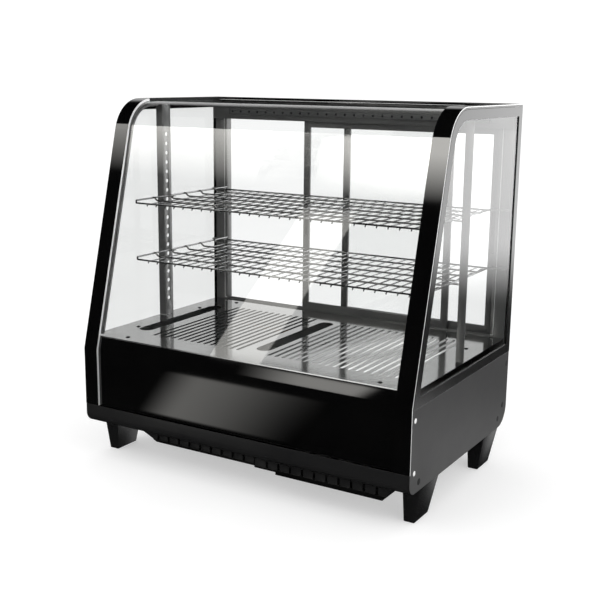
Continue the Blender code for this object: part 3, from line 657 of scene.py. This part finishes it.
def base():
    """Sheet skins of the base: both sides, the rounded rail and the glossy front panel."""
    toe = rounded_corner(TOE_R, FRONT + TOE_R, -pi / 2, -pi)
    heel = rounded_corner(HEEL_R, REAR - HEEL_R, 0, -pi / 2)
    side = ([(REAR, PANEL_TOP)] + heel + toe
            + [(FRONT, RAIL_TOP), (FRONT + GLASS_DEPTH, RAIL_TOP),
               (FRONT + GLASS_DEPTH, PANEL_TOP)])
    for name, x0, x1 in both_sides(HALF - STEEL, HALF - 0.0004):
        mesh = slab(f"side_skin_{name}", side, x0, x1)
        obj = piece(f"side_skin_{name}", mesh, [satin_black, satin_black], "cabinet",
                    [f"side_panel_{name}"])
        finish_mesh(obj, 0.0004)

    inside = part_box("front_rail")[1].x
    toe_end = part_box("front_rail")[1].y
    inner_toe = rounded_corner(TOE_R, FRONT + TOE_R, -pi / 2, -pi, STEEL)
    outer = [(toe_end, BASE_BOTTOM)] + toe + [(FRONT, RAIL_TOP)]
    inner = [(toe_end, BASE_BOTTOM + STEEL)] + inner_toe + [(FRONT + STEEL, RAIL_TOP)]
    mesh = ring_solid("rail_skin", outer, inner, -inside, inside)
    finish_mesh(piece("rail_skin", mesh, [satin_black, satin_black], "cabinet",
                      ["front_rail"]), 0.0004)

    low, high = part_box("front_panel")
    past_kink = 8
    outer, inner = (front_path(depth, low.z, 0, 2)[:past_kink]
                    + [(slope_y(depth, high.z), high.z)]
                    for depth in (GLASS_DEPTH, GLASS_DEPTH + STEEL))
    mesh = ring_solid("panel_skin", outer, inner, low.x, high.x)
    finish_mesh(piece("panel_skin", mesh, [black_gloss, black_gloss], "cabinet",
                      ["front_panel"]), 0.0003)


def side_screws():
    """Bright heads with a painted glint and dark heads on both sides of the base, and dark ones
    on the floor.
    """
    x, height = HALF - 0.0006, 0.0005
    heads = (("panel_screw", 0.0045, head_painted_glint, ((-0.210, 0.191), (-0.208, 0.102))),
             ("panel_rivet", 0.0060, deep_black,
              ((-0.189, 0.082), (0.192, 0.107), (0.170, 0.085), (0.204, 0.187))))
    for side, sign in SIDES:
        for kind, radius, material, places in heads:
            for i, (y, z) in enumerate(places):
                screw(f"{kind}_{side}_{i}", (sign * x, y, z), (sign, 0, 0), radius, height,
                      material)
    radius, height, sunk = 0.0042, 0.0017, 0.0002
    places = ((0.265, -0.187), (0.302, -0.112), (0.302, 0.088), (0.265, 0.172))
    for side, sign in SIDES:
        for i, (x, y) in enumerate(places):
            screw(f"floor_screw_{side}_{i}", (sign * x, y, FLOOR_Z - sunk), (0, 0, 1),
                  radius, height, moulded)


# ------------------------------------------------------------------ shelves
def shelf(level):
    """Cross wires that rise in hooks to the side wires, on long wires that stick out."""
    name = f"{level}_shelf"
    low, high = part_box(name)
    wire, long_wire = 0.0017, 0.0012
    top = high.z - wire
    grid = low.z + wire
    front, rear = low.y + wire, high.y - wire
    half = high.x - wire
    flat, sweep = 0.297, 0.0095
    hook_x, hook_z = -half + 0.0025, top + 0.0008
    rows, columns = 6, 28
    paths = []
    for j in range(rows + 1):
        y = front + (rear - front) * j / rows
        if j in (0, rows):
            path = [(-half, y, top), (-half, y, grid + 0.0005), (-half + 0.0008, y, grid)]
        else:
            path = [(-half, y, top + 0.001), (hook_x, y, hook_z)]
            path += [(hook_x + sweep * t, y,
                      grid + (hook_z - grid) * (0.5 + 0.5 * cos(pi * t)))
                     for t in (0.25, 0.5, 0.75, 1)]
        path += [(-x, y, z) for x, y, z in path[::-1]]
        paths.append(path)
    wires(f"{name}_cross_wires", paths, wire, chrome, name, [name])
    paths = [[(side * half, front, top), (side * half, rear, top)] for side in (-1, 1)]
    wires(f"{name}_side_wires", paths, wire, chrome, name)
    z = grid - long_wire / 2
    paths = []
    for i in range(1, columns):
        x = -flat + 2 * flat * i / columns
        paths.append([(x, front - 0.0045, z - 0.0035), (x, front - 0.0030, z - 0.0008),
                      (x, front, z), (x, rear + 0.003, z)])
    obj = wires(f"{name}_long_wires", paths, long_wire, chrome, name)


# ------------------------------------------------------------------ rear controls and fan
def knob():
    """A fluted knob with a white pointer line, and ticks round it on the fascia."""
    low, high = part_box("thermostat_knob")
    centre = (low + high) / 2
    radius = (high.x - low.x) / 2
    face_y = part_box("control_fascia")[1].y
    base = face_y + 0.0006
    rings = [(0.96, base, 0), (0.96, base + 0.0012, 0), (0.86, base + 0.0016, 0.045),
             (0.84, high.y - 0.0009, 0.045), (0.78, high.y - 0.0002, 0),
             (0.20, high.y - 0.0004, 0)]
    steps, flutes = 144, 18
    verts = []
    for share, y, groove in rings:
        for k in range(steps):
            turn = 2 * pi * k / steps
            r = radius * (share - groove * max(0, cos(flutes * turn)))
            verts.append((centre.x + r * cos(turn), y, centre.z + r * sin(turn)))
    body = mesh_of("knob_turned", verts, lathe_faces(len(rings), steps))
    half_line, line_low, line_high = 0.0006, 0.0035, 0.0108
    line = block("knob_pointer",
                 (centre.x - half_line, high.y - 0.0006, centre.z + line_low),
                 (centre.x + half_line, high.y - 0.0001, centre.z + line_high))
    line.polygons.foreach_set("material_index", [1] * len(line.polygons))
    mesh = joined("knob_body", [body, line])
    finish_mesh(piece("knob_body", mesh, [moulded, mark_white], "thermostat_knob",
                      ["thermostat_knob"]), sharp=40)

    tick_count, tick_step, half_width, proud = 11, radians(30), 0.00035, 0.00012
    near, far, far_of_long = 0.0020, 0.0036, 0.0046
    out = Vector((0, proud, 0))
    ticks = []
    for i in range(tick_count):
        turn = pi / 2 - tick_step * i
        away = Vector((cos(turn), 0, sin(turn)))
        across = Vector((-sin(turn), 0, cos(turn))) * half_width
        ends = [Vector((centre.x, face_y, centre.z)) + away * r
                for r in (radius + near, radius + (far_of_long if i % 5 == 0 else far))]
        verts = [end + side + lift for end in ends for side in (-across, across)
                 for lift in (-out, out)]
        ticks.append(mesh_of(f"tick_{i}", verts, BOX_FACES))
    finish_mesh(piece("dial_ticks", joined("dial_ticks", ticks), [mark_white]))


def rocker_marks():
    """A bar above and a ring below on each rocker, lying on its tilted faces."""
    tilt, pivot_y = radians(6), 0.2185
    dip, rise, half_tall, proud = 0.0014, 0.0016, 0.0098, 0.0001
    fascia_low, fascia_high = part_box("control_fascia")
    middle = (fascia_low.z + fascia_high.z) / 2
    ring_radius, ring_steps = 0.0021, 24
    for name, body in (("power_rocker", "power_switch"), ("light_rocker", "light_switch")):
        low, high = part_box(name)
        x = (low.x + high.x) / 2

        def on_face(along, up):
            out = dip + rise * abs(up) / half_tall + proud
            return Vector((x + along, pivot_y + out * cos(tilt) - up * sin(tilt),
                           middle + out * sin(tilt) + up * cos(tilt)))

        bar = [on_face(0, 0.0034), on_face(0, 0.0074)]
        turns = [2 * pi * k / ring_steps for k in range(ring_steps)]
        ring = [on_face(ring_radius * cos(t), -0.0054 + ring_radius * sin(t)) for t in turns]
        wires(f"{name}_bar", [bar], 0.00032, mark_white, body)
        wires(f"{name}_ring", [ring], 0.00028, mark_white, body, cyclic=True)


def digits():
    """Two glowing seven-part digits in the temperature window, read from the rear."""
    low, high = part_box("temperature_display")
    y = high.y - 0.0001
    middle = (low + high) / 2
    tall, wide, pitch = 0.0050, 0.004896, 0.0125
    lines = {"a": ((0, 2), (1, 2)), "b": ((1, 1), (1, 2)), "c": ((1, 0), (1, 1)),
             "d": ((0, 0), (1, 0)), "e": ((0, 0), (0, 1)), "f": ((0, 1), (0, 2)),
             "g": ((0, 1), (1, 1))}
    paths = []
    for place, lit in ((0, "acdefg"), (1, "abcdef")):
        for key in lit:
            ends = []
            for column, row in lines[key]:
                across = (place - 0.5) * pitch + (column - 0.5) * wide
                ends.append(Vector((middle.x - across, y, middle.z + (row - 1) * tall)))
            gap = (ends[1] - ends[0]) * 0.12
            paths.append([ends[0] + gap, ends[1] - gap])
    wires("display_digits", paths, 0.0005, readout, "cabinet")


def fan_wheel():
    """Seven twisted blades on a domed hub."""
    low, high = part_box("fan_rotor")
    centre = (low + high) / 2
    housing_low, housing_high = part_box("fan_housing")
    centre.y = (housing_low.y + housing_high.y) / 2
    centre.z = (housing_low.z + housing_high.z) / 2
    blades, rows, root, tip = 7, 9, 0.0135, 0.0365
    deep = (high.x - low.x) / 2 - 0.0004
    profile = [(root, -deep), (0.0145, -deep + 0.001), (0.0145, deep - 0.002),
               (0.0120, deep - 0.0005), (0.004, deep)]
    meshes = [turned("hub", profile, centre, (1, 0, 0), 40)]
    for i in range(blades):
        verts, faces = [], []
        for j in range(rows):
            share = j / (rows - 1)
            r = root + (tip - root) * share
            pitch = radians(48 - 16 * share)
            sweep = 2 * pi * i / blades + 0.35 * share ** 1.5
            chord = 0.0078 + 0.0030 * sin(pi * share)
            for thick in (-0.0005, 0.0005):
                for along in (-1, 0, 1):
                    across = along * chord * cos(pitch)
                    x = along * min(chord * sin(pitch), deep - 0.0006) + thick
                    turn = sweep + across / r
                    verts.append((centre.x + x, centre.y + r * cos(turn),
                                  centre.z + r * sin(turn)))
        for j in range(rows - 1):
            a, b = 6 * j, 6 * (j + 1)
            for k in (0, 1):
                faces += [(a + k, a + k + 1, b + k + 1, b + k),
                          (a + 3 + k, b + 3 + k, b + 4 + k, a + 4 + k)]
            faces += [(a, b, b + 3, a + 3), (a + 2, a + 5, b + 5, b + 2)]
        end = 6 * (rows - 1)
        faces += [(0, 3, 4, 1), (1, 4, 5, 2), (end, end + 1, end + 4, end + 3),
                  (end + 1, end + 2, end + 5, end + 4)]
        meshes.append(mesh_of(f"blade_{i}", verts, faces))
    finish_mesh(piece("fan_wheel", joined("fan_wheel", meshes), [moulded], "fan_rotor",
                      ["fan_rotor"]), sharp=40)


# ------------------------------------------------------------------ everything else
def carried():
    """The model's own shapes, softened where they show, in detailed materials."""
    frames = ["rear_beam", "top_door_track", "bottom_door_track", "inner_door_frame",
              "outer_door_frame", "rear_post_left", "rear_post_right",
              "shelf_upright_left", "shelf_upright_right"]
    for name in frames:
        refine(name, satin_frame, 0.0004)
    refine("top_cover", black_gloss, 0.0006, 3)
    for name in ("rear_panel", "base_plate"):
        refine(name, satin_black, 0.0003)
    for name in ("foot_front_left", "foot_front_right", "foot_rear_left",
                 "foot_rear_right"):
        refine(name, foot_plastic, 0.0012, 3)
    for name in ("vent_guard_left", "vent_guard_right"):
        guard = refine(name, moulded, 0.0003)
        guard.data.materials.append(deep_black)
        for face in guard.data.polygons:
            if face.center.z < GUARD_LIP:
                face.material_index = 1
    for name in ("inner_door_pull", "outer_door_pull", "control_fascia", "mains_inlet",
                 "power_rocker", "light_rocker"):
        refine(name, moulded, 0.0005)
    for name in ("upper_clip_left", "upper_clip_right", "lower_clip_left",
                 "lower_clip_right"):
        refine(name, screw_steel, 0.0004)
    refine("led_strip", lamp_cover, 0.001, 3)
    repaint(stainless, "display_floor")
    repaint(sheathed, "heating_element")
    repaint(door_clear, "inner_door_glass", "outer_door_glass")
    repaint(plated, "air_duct", "fan_bulkhead", "fan_motor", "element_bracket_left",
            "element_bracket_right")
    repaint(moulded, "fan_housing")
    repaint(grey_plastic, "terminal_block", "thermostat_body")
    repaint(white_plastic, "led_driver")
    repaint(copper, "thermostat_bulb")
    repaint(window_dark, "temperature_display")


# ------------------------------------------------------------------ camera and light
def camera():
    """The front right view, from a little above the case."""
    data = bpy.data.cameras.new("camera")
    data.sensor_width = 36
    data.lens = 61.07
    data.shift_x = 0.0012
    obj = bpy.data.objects.new("camera", data)
    bpy.context.scene.collection.objects.link(obj)
    azimuth, elevation, roll = radians(31.02), radians(12.41), radians(0.63)
    back = Vector((sin(azimuth) * cos(elevation), -cos(azimuth) * cos(elevation),
                   sin(elevation)))
    right = (-back).cross(Vector((0, 0, 1))).normalized()
    up = back.cross(right)
    tilted_right = right * cos(roll) + up * sin(roll)
    tilted_up = up * cos(roll) - right * sin(roll)
    turn = Matrix((tilted_right, tilted_up, back)).transposed()
    place = (0.96779, -1.61276, 0.71993)
    obj.matrix_world = Matrix.Translation(place) @ turn.to_4x4()
    bpy.context.scene.camera = obj


def fade_in(tree, source, low, high, shape="SMOOTHSTEP"):
    """0 below low, 1 above high, and a fade between; low may be the higher number."""
    span = tree.nodes.new("ShaderNodeMapRange")
    span.interpolation_type = shape
    span.inputs["From Min"].default_value = min(low, high)
    span.inputs["From Max"].default_value = max(low, high)
    span.inputs["To Min"].default_value = 0 if low < high else 1
    span.inputs["To Max"].default_value = 1 if low < high else 0
    tree.links.new(source, span.inputs["Value"])
    return span.outputs["Result"]


def fill(tree, socket, value):
    """Feed a socket from another socket, or set it to a number."""
    if isinstance(value, bpy.types.NodeSocket):
        tree.links.new(value, socket)
    else:
        socket.default_value = value


def combined(tree, operation, *terms):
    """Sockets or numbers put together by ADD or MULTIPLY."""
    result = terms[0]
    for term in terms[1:]:
        step = tree.nodes.new("ShaderNodeMath")
        step.operation = operation
        for socket, value in zip(step.inputs, (result, term)):
            fill(tree, socket, value)
        result = step.outputs["Value"]
    return result


def emitter(name, strength, left, right, bottom, top, shape="SMOOTHSTEP"):
    """A softbox face whose light fades towards its edges, in shares of its width and height."""
    mat = bpy.data.materials.new(name)
    mat.use_nodes = True
    tree = mat.node_tree
    tree.nodes.clear()
    glow = tree.nodes.new("ShaderNodeEmission")
    glow.inputs["Color"].default_value = (1.0, 0.985, 0.94, 1)
    place = tree.nodes.new("ShaderNodeSeparateXYZ")
    tree.links.new(tree.nodes.new("ShaderNodeTexCoord").outputs["UV"], place.inputs["Vector"])
    across, up = place.outputs["X"], place.outputs["Y"]
    light = combined(tree, "MULTIPLY", fade_in(tree, across, 0, left),
                     fade_in(tree, across, 1, 1 - right), fade_in(tree, up, 0, bottom, shape),
                     fade_in(tree, up, 1, 1 - top), strength)
    tree.links.new(light, glow.inputs["Strength"])
    out = tree.nodes.new("ShaderNodeOutputMaterial")
    tree.links.new(glow.outputs["Emission"], out.inputs["Surface"])
    return mat


def card(name, corners, material):
    """A softbox seen only in reflections: corners go round from its lower left."""
    steps = 12
    a, b, c, d = (Vector(corner) for corner in corners)
    verts, uvs, faces = [], [], []
    for j in range(steps + 1):
        for i in range(steps + 1):
            u, v = i / steps, j / steps
            verts.append(a * (1 - u) * (1 - v) + b * u * (1 - v) + c * u * v
                         + d * (1 - u) * v)
            uvs.append((u, v))
    for j in range(steps):
        for i in range(steps):
            k = j * (steps + 1) + i
            faces.append((k, k + 1, k + steps + 2, k + steps + 1))
    mesh = bpy.data.meshes.new(name)
    mesh.from_pydata(verts, [], faces)
    layer = mesh.uv_layers.new(name="place")
    for loop in mesh.loops:
        layer.data[loop.index].uv = uvs[loop.vertex_index]
    mesh.materials.append(material)
    obj = bpy.data.objects.new(name, mesh)
    bpy.context.scene.collection.objects.link(obj)
    obj.visible_camera = False
    obj.visible_diffuse = False
    obj.visible_shadow = False
    return obj


def area_light(name, place, target, size, power):
    """A soft rectangular light that leaves no mirror image."""
    data = bpy.data.lights.new(name, "AREA")
    data.shape = "RECTANGLE"
    data.size, data.size_y = size
    data.energy = power
    obj = bpy.data.objects.new(name, data)
    bpy.context.scene.collection.objects.link(obj)
    aim = Vector(target) - Vector(place)
    obj.matrix_world = (Matrix.Translation(place)
                        @ aim.to_track_quat("-Z", "Y").to_matrix().to_4x4())
    obj.visible_glossy = False
    return obj


def surroundings():
    """White for the eye and for soft light, but a dark room with glows for reflections."""
    bpy.context.scene.view_settings.view_transform = "Standard"
    world = bpy.data.worlds.new("studio")
    bpy.context.scene.world = world
    world.use_nodes = True
    world.cycles.sampling_method = "NONE"
    tree = world.node_tree
    tree.nodes.clear()
    path = tree.nodes.new("ShaderNodeLightPath")
    direction = tree.nodes.new("ShaderNodeSeparateXYZ")
    tree.links.new(tree.nodes.new("ShaderNodeTexCoord").outputs["Generated"],
                   direction.inputs["Vector"])
    x, y, z = (direction.outputs[axis] for axis in "XYZ")
    behind = fade_in(tree, y, 0.0, 0.35)
    to_right, to_left = fade_in(tree, x, 0.0, 0.3), fade_in(tree, x, 0.3, 0.0)
    glows = []
    for side, rising, falling, strength in ((to_right, (-0.215, -0.15), (0.80, 0.30), 2.6),
                                            (to_left, (0.07, 0.16), (0.64, 0.46), 0.82),
                                            (to_right, (-0.285, -0.335), (-0.48, -0.37), 0.8)):
        glows.append(combined(tree, "MULTIPLY", behind, side, fade_in(tree, z, *rising),
                              fade_in(tree, z, *falling), strength))
    dark = 0.005
    shades = (("seen", 1.12), ("diffuse", 1.0), ("mirrored", combined(tree, "ADD", dark, *glows)))
    skies = {}
    for name, strength in shades:
        sky = tree.nodes.new("ShaderNodeBackground")
        sky.inputs["Color"].default_value = (1, 1, 1, 1)
        fill(tree, sky.inputs["Strength"], strength)
        skies[name] = sky.outputs["Background"]
    sky = skies["diffuse"]
    for ray, shade in (("Is Glossy Ray", "mirrored"), ("Is Camera Ray", "seen")):
        choice = tree.nodes.new("ShaderNodeMixShader")
        tree.links.new(path.outputs[ray], choice.inputs["Fac"])
        tree.links.new(sky, choice.inputs[1])
        tree.links.new(skies[shade], choice.inputs[2])
        sky = choice.outputs["Shader"]
    out = tree.nodes.new("ShaderNodeOutputWorld")
    tree.links.new(sky, out.inputs["Surface"])


def ground():
    """A wide pale floor just under the feet."""
    reach, sunk = 9, 0.0005
    floor = bpy.data.meshes.new("studio_floor")
    floor.from_pydata([(-reach, -reach, 0), (reach, -reach, 0), (reach, reach, 0),
                       (-reach, reach, 0)], [], [(0, 1, 2, 3)])
    mat = Paint("studio_floor")
    cloud = mat.noise(3, 2)
    mat.principled(Base_Color=mat.blend(cloud, (0.62, 0.62, 0.62), (0.64, 0.64, 0.64)),
                   Roughness=0.9, Specular_IOR_Level=0.0, Emission_Color=(1, 1, 1, 1),
                   Emission_Strength=0.46)
    floor.materials.append(mat.material)
    obj = bpy.data.objects.new("studio_floor", floor)
    bpy.context.scene.collection.objects.link(obj)
    obj.location.z = -sunk
    obj.visible_glossy = False


def lights():
    """Two soft lights, and softboxes that show only in the glossy surfaces."""
    area_light("key_light", (-1.6, -2.2, 2.6), (0, 0, 0.35), (2.4, 1.6), 14)
    area_light("right_light", (2.6, -0.4, 1.9), (0, 0, 0.3), (1.8, 1.8), 10)

    plane = -1.5
    card("front_softbox", [(-3.0, plane, 1.14), (-0.75, plane, 1.065), (-0.75, plane, 1.70),
                           (-3.0, plane, 1.70)],
         emitter("softbox_front", 2.7, 0.02, 0.12, 0.30, 0.01, "LINEAR"))
    card("right_softbox", [(-0.98, plane, 1.06), (0.3, plane, 1.06), (0.3, plane, 1.70),
                           (-0.98, plane, 1.70)],
         emitter("softbox_right", 5.6, 0.45, 0.1, 0.26, 0.01, "LINEAR"))
    card("slanted_softbox", [(-0.965, plane, 0.456), (-0.760, plane, 0.456),
                             (-0.540, plane, 1.03), (-0.755, plane, 1.03)],
         emitter("softbox_slanted", 1.5, 0.02, 0.05, 0.02, 0.10))
    card("crease_softbox", [(-0.85, plane, 0.390), (-0.36, plane, 0.390),
                            (-0.31, plane, 0.452), (-0.85, plane, 0.452)],
         emitter("softbox_crease", 2.3, 0.55, 0.14, 0.02, 0.02))
    card("panel_softbox", [(-0.43, -0.458, 0.004), (-0.02, -0.458, 0.004),
                           (-0.09, -0.774, 0.004), (-0.60, -0.774, 0.004)],
         emitter("softbox_panel", 1.15, 0.26, 0.8, 0.05, 0.08))


camera()
surroundings()
ground()
lights()
bands()
glazing()
glass_foot()
base()
floor_louvres()
post_edge_highlights()
lamp_lenses()
side_screws()
for shelf_level in ("upper", "lower"):
    shelf(shelf_level)
knob()
rocker_marks()
digits()
fan_wheel()
carried()
